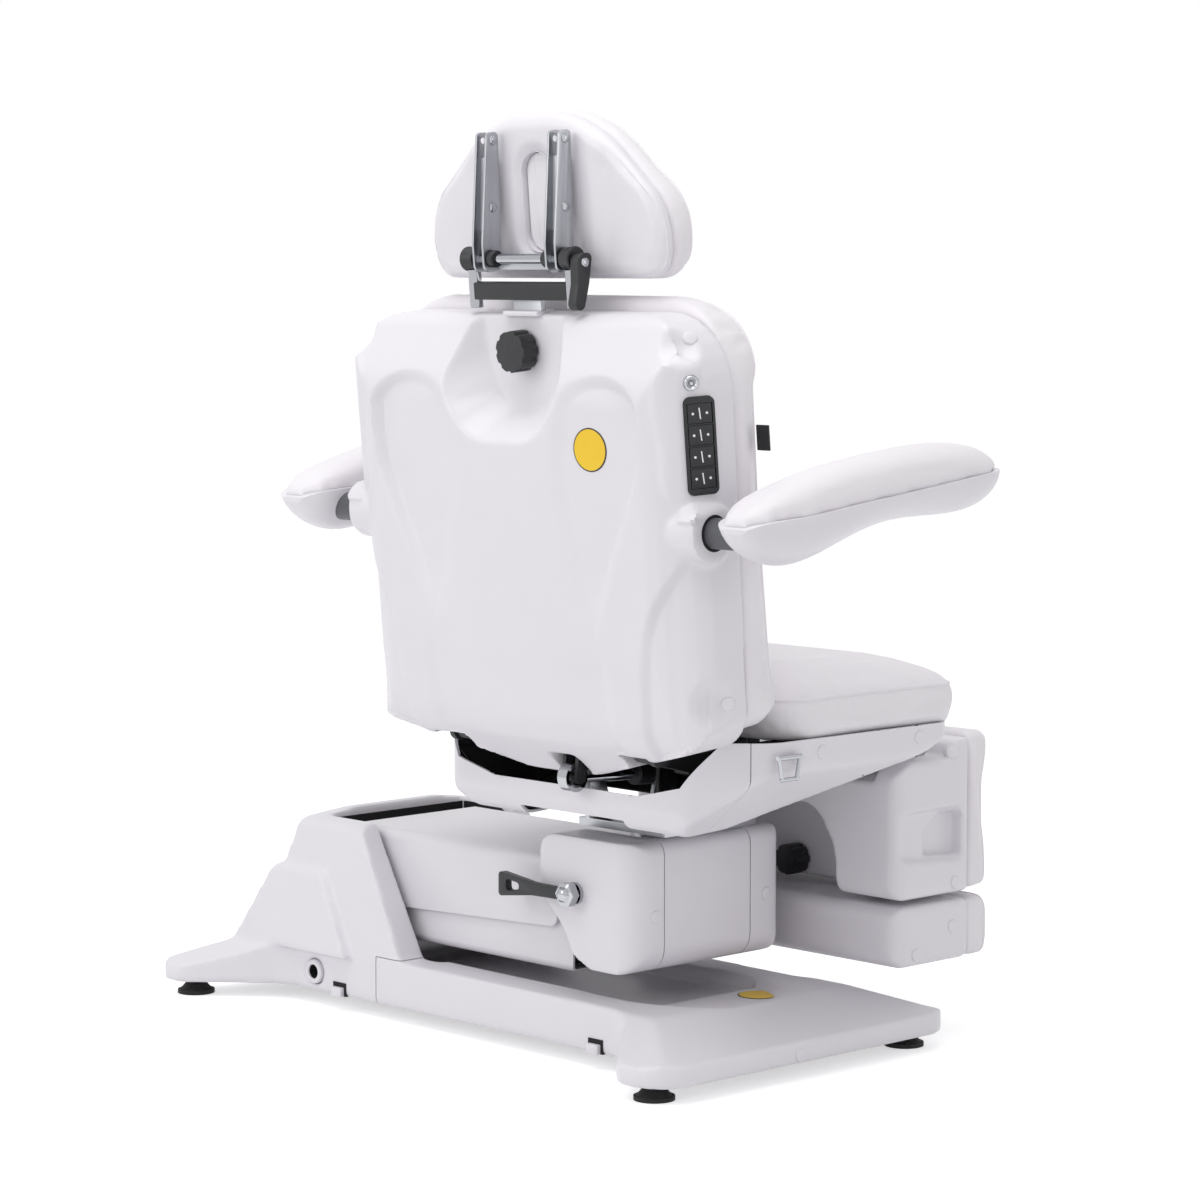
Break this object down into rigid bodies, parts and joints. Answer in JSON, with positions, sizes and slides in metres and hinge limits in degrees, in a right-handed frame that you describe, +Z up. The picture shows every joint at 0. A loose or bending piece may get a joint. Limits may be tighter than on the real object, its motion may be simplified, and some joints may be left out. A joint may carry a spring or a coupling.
{
  "type": "beauty treatment chair",
  "caption": "White electric treatment chair: reclining back, adjustable headrest, folding armrests, leg rest and swivelling parallel-lift base.",
  "frame": {"origin": "middle of the overall box in plan, on the floor", "axes": "+Z up; the sitter faces -Y; +X from the seat towards the lift tower, which is the sitter's left"},
  "size_m": [1.1602, 0.6426, 1.1726],
  "materials": {
    "white_shell": "satin moulded",
    "white_upholstery": "soft artificial leather",
    "painted_frame": "powder coat",
    "black_plastic": "fine grain",
    "chrome": "polished",
    "zinc_steel": "zinc plated",
    "grey_tube": "powder coat",
    "foot_rubber": "moulded"
  },
  "bodies": {
    "base": {"base_frame": "painted_frame", "base_front_cover": "white_shell", "base_rear_cover": "white_shell", "levelling_feet": "foot_rubber", "mains_inlet": "black_plastic", "tower_pivot_pins": "zinc_steel", "control_box": "black_plastic"},
    "upper_arm": {"upper_link": "painted_frame", "arm_top_cover": "white_shell"},
    "lower_arm": {"lower_link": "painted_frame", "arm_lower_cover": "white_shell"},
    "lift_actuator": {"lift_actuator_tube": "black_plastic"},
    "lift_rod": {"lift_actuator_rod": "chrome"},
    "swivel_head": {"head_frame": "painted_frame", "head_right_shell": "white_shell", "head_left_shell": "white_shell", "head_end_cover": "white_shell", "swivel_bearing": "zinc_steel", "brake_bolt": "chrome"},
    "brake_lever": {"brake_lever": "black_plastic"},
    "carriage": {"swivel_carriage": "zinc_steel"},
    "seat": {"seat_frame": "painted_frame", "seat_pan": "white_shell", "pan_rear_cover": "white_shell", "seat_cushion": "white_upholstery", "tilt_motor": "zinc_steel"},
    "left_strap_ring": {"left_strap_ring": "chrome"},
    "right_strap_ring": {"right_strap_ring": "chrome"},
    "back": {"back_frame": "painted_frame", "back_shell": "white_shell", "back_cushion": "white_upholstery", "keypad_housing": "black_plastic"},
    "back_actuator": {"back_actuator_tube": "black_plastic"},
    "back_rod": {"back_actuator_rod": "chrome"},
    "leg_actuator": {"leg_actuator_tube": "black_plastic"},
    "leg_rod": {"leg_actuator_rod": "chrome"},
    "right_armrest": {"right_armrest_tube": "grey_tube", "right_armrest_shell": "white_shell", "right_armrest_pad": "white_upholstery"},
    "left_armrest": {"left_armrest_tube": "grey_tube", "left_armrest_shell": "white_shell", "left_armrest_pad": "white_upholstery"},
    "head_post": {"headrest_post": "black_plastic", "headrest_shaft": "chrome"},
    "head_arms": {"headrest_arms": "zinc_steel"},
    "headrest": {"headrest_shell": "white_shell", "headrest_pad": "white_upholstery"},
    "headrest_lever": {"headrest_lever": "black_plastic"},
    "post_knob": {"post_knob": "black_plastic"},
    "leg": {"leg_frame": "painted_frame", "leg_casing": "white_shell", "leg_pad": "white_upholstery"},
    "leg_knob": {"leg_knob": "black_plastic"},
    "foot": {"foot_rails": "painted_frame", "foot_casing": "white_shell", "foot_pad": "white_upholstery"},
    "key_1": {"keypad_key_1": "black_plastic"},
    "key_2": {"keypad_key_2": "black_plastic"},
    "key_3": {"keypad_key_3": "black_plastic"},
    "key_4": {"keypad_key_4": "black_plastic"}
  },
  "joints": [
    {"name": "lift", "type": "hinge", "parent": "base", "child": "upper_arm", "pos_m": [0.33396, 0.03474, 0.2], "axis": [0, 1, 0], "range_deg": [0, 38]},
    {"name": "lower_arm_swing", "type": "hinge", "parent": "base", "child": "lower_arm", "pos_m": [0.29396, 0.03474, 0.12], "axis": [0, 1, 0], "range_deg": [-0.5, 38.5]},
    {"name": "head_level", "type": "hinge", "parent": "upper_arm", "child": "swivel_head", "pos_m": [-0.06604, 0.03474, 0.2], "axis": [0, 1, 0], "range_deg": [-38.5, 0.5]},
    {"name": "lift_actuator_swing", "type": "hinge", "parent": "base", "child": "lift_actuator", "pos_m": [0.29396, 0.03474, 0.12], "axis": [0, 1, 0], "range_deg": [-0.38, 38]},
    {"name": "lift_actuator_stroke", "type": "slide", "parent": "lift_actuator", "child": "lift_rod", "axis": [-0.9762, 0, 0.2169], "range_m": [-0.00069, 0.05945]},
    {"name": "brake_lever_turn", "type": "hinge", "parent": "swivel_head", "child": "brake_lever", "pos_m": [-0.10604, 0.17074, 0.207], "axis": [0, 1, 0], "range_deg": [-35, 45]},
    {"name": "swivel", "type": "hinge", "parent": "swivel_head", "child": "carriage", "pos_m": [-0.13604, 0.03474, 0.29], "axis": [0, 0, 1], "range_deg": [-180, 0]},
    {"name": "seat_tilt", "type": "hinge", "parent": "carriage", "child": "seat", "pos_m": [-0.13604, 0.10474, 0.338], "axis": [-1, 0, 0], "range_deg": [0, 12]},
    {"name": "back_recline", "type": "hinge", "parent": "seat", "child": "back", "pos_m": [-0.13604, 0.22474, 0.405], "axis": [-1, 0, 0], "range_deg": [0, 70]},
    {"name": "back_actuator_swing", "type": "hinge", "parent": "seat", "child": "back_actuator", "pos_m": [-0.16604, -0.07726, 0.35], "axis": [-1, 0, 0], "range_deg": [-4.85, 0.05]},
    {"name": "back_actuator_stroke", "type": "slide", "parent": "back_actuator", "child": "back_rod", "axis": [0, 0.9988, 0.0484], "range_m": [-0.03967, 0.00049]},
    {"name": "leg_raise", "type": "hinge", "parent": "seat", "child": "leg", "pos_m": [-0.13604, -0.21026, 0.388], "axis": [-1, 0, 0], "range_deg": [0, 85]},
    {"name": "leg_actuator_swing", "type": "hinge", "parent": "seat", "child": "leg_actuator", "pos_m": [-0.10604, 0.06274, 0.356], "axis": [-1, 0, 0], "range_deg": [-1.43, 0.01]},
    {"name": "leg_actuator_stroke", "type": "slide", "parent": "leg_actuator", "child": "leg_rod", "axis": [0, -0.9987, 0.0511], "range_m": [-0.00045, 0.03524]},
    {"name": "foot_slide", "type": "slide", "parent": "leg", "child": "foot", "axis": [0, 0, -1], "range_m": [0, 0.03]},
    {"name": "leg_knob_turn", "type": "hinge", "parent": "leg", "child": "leg_knob", "pos_m": [-0.13604, -0.16326, 0.214], "axis": [0, 1, 0], "continuous": true},
    {"name": "right_armrest_fold", "type": "hinge", "parent": "back", "child": "right_armrest", "pos_m": [-0.44204, 0.26265, 0.67773], "axis": [-1, 0, 0], "range_deg": [0, 90]},
    {"name": "left_armrest_fold", "type": "hinge", "parent": "back", "child": "left_armrest", "pos_m": [0.16996, 0.26265, 0.67773], "axis": [-1, 0, 0], "range_deg": [0, 90]},
    {"name": "left_ring_swing", "type": "hinge", "parent": "seat", "child": "left_strap_ring", "pos_m": [0.15496, 0.11874, 0.404], "axis": [0, -1, 0], "range_deg": [-12, 85]},
    {"name": "right_ring_swing", "type": "hinge", "parent": "seat", "child": "right_strap_ring", "pos_m": [-0.42704, 0.11874, 0.404], "axis": [0, 1, 0], "range_deg": [-12, 85]},
    {"name": "headrest_post_slide", "type": "slide", "parent": "back", "child": "head_post", "axis": [0, 0.0872, 0.9962], "range_m": [0, 0.09]},
    {"name": "post_knob_turn", "type": "hinge", "parent": "back", "child": "post_knob", "pos_m": [-0.13604, 0.2865, 0.88143], "axis": [0, 0.9962, -0.0872], "continuous": true},
    {"name": "headrest_arm_tilt", "type": "hinge", "parent": "head_post", "child": "head_arms", "pos_m": [-0.13604, 0.28106, 0.99132], "axis": [-1, 0, 0], "range_deg": [0, 45]},
    {"name": "headrest_tilt", "type": "hinge", "parent": "head_arms", "child": "headrest", "pos_m": [-0.13604, 0.2784, 1.13309], "axis": [-1, 0, 0], "range_deg": [0, 35]},
    {"name": "headrest_lever_turn", "type": "hinge", "parent": "head_post", "child": "headrest_lever", "pos_m": [-0.25404, 0.28106, 0.99132], "axis": [1, 0, 0], "range_deg": [0, 70]},
    {"name": "key_1_rock", "type": "hinge", "parent": "back", "child": "key_1", "pos_m": [-0.43004, 0.27522, 0.81566], "axis": [0, 0.0872, 0.9962], "range_deg": [-3, 3], "stiffness_Nm_per_rad": 0.04},
    {"name": "key_2_rock", "type": "hinge", "parent": "back", "child": "key_2", "pos_m": [-0.43004, 0.27304, 0.79076], "axis": [0, 0.0872, 0.9962], "range_deg": [-3, 3], "stiffness_Nm_per_rad": 0.04},
    {"name": "key_3_rock", "type": "hinge", "parent": "back", "child": "key_3", "pos_m": [-0.43004, 0.27087, 0.76585], "axis": [0, 0.0872, 0.9962], "range_deg": [-3, 3], "stiffness_Nm_per_rad": 0.04},
    {"name": "key_4_rock", "type": "hinge", "parent": "back", "child": "key_4", "pos_m": [-0.43004, 0.26869, 0.74095], "axis": [0, 0.0872, 0.9962], "range_deg": [-3, 3], "stiffness_Nm_per_rad": 0.04}
  ],
  "couplings": [
    {"joint": "lower_arm_swing", "follows": "lift", "ratio": 1},
    {"joint": "head_level", "follows": "lift", "ratio": -1},
    {"joint": "lift_actuator_swing", "follows": "lift", "ratio": 0.99},
    {"joint": "lift_actuator_stroke", "follows": "lift", "m_per_rad": 0.0886},
    {"joint": "back_actuator_swing", "follows": "back_recline", "ratio": -0.068643},
    {"joint": "back_actuator_stroke", "follows": "back_recline", "m_per_rad": -0.032064},
    {"joint": "leg_actuator_swing", "follows": "leg_raise", "ratio": -0.016702},
    {"joint": "leg_actuator_stroke", "follows": "leg_raise", "m_per_rad": 0.023451}
  ]
}
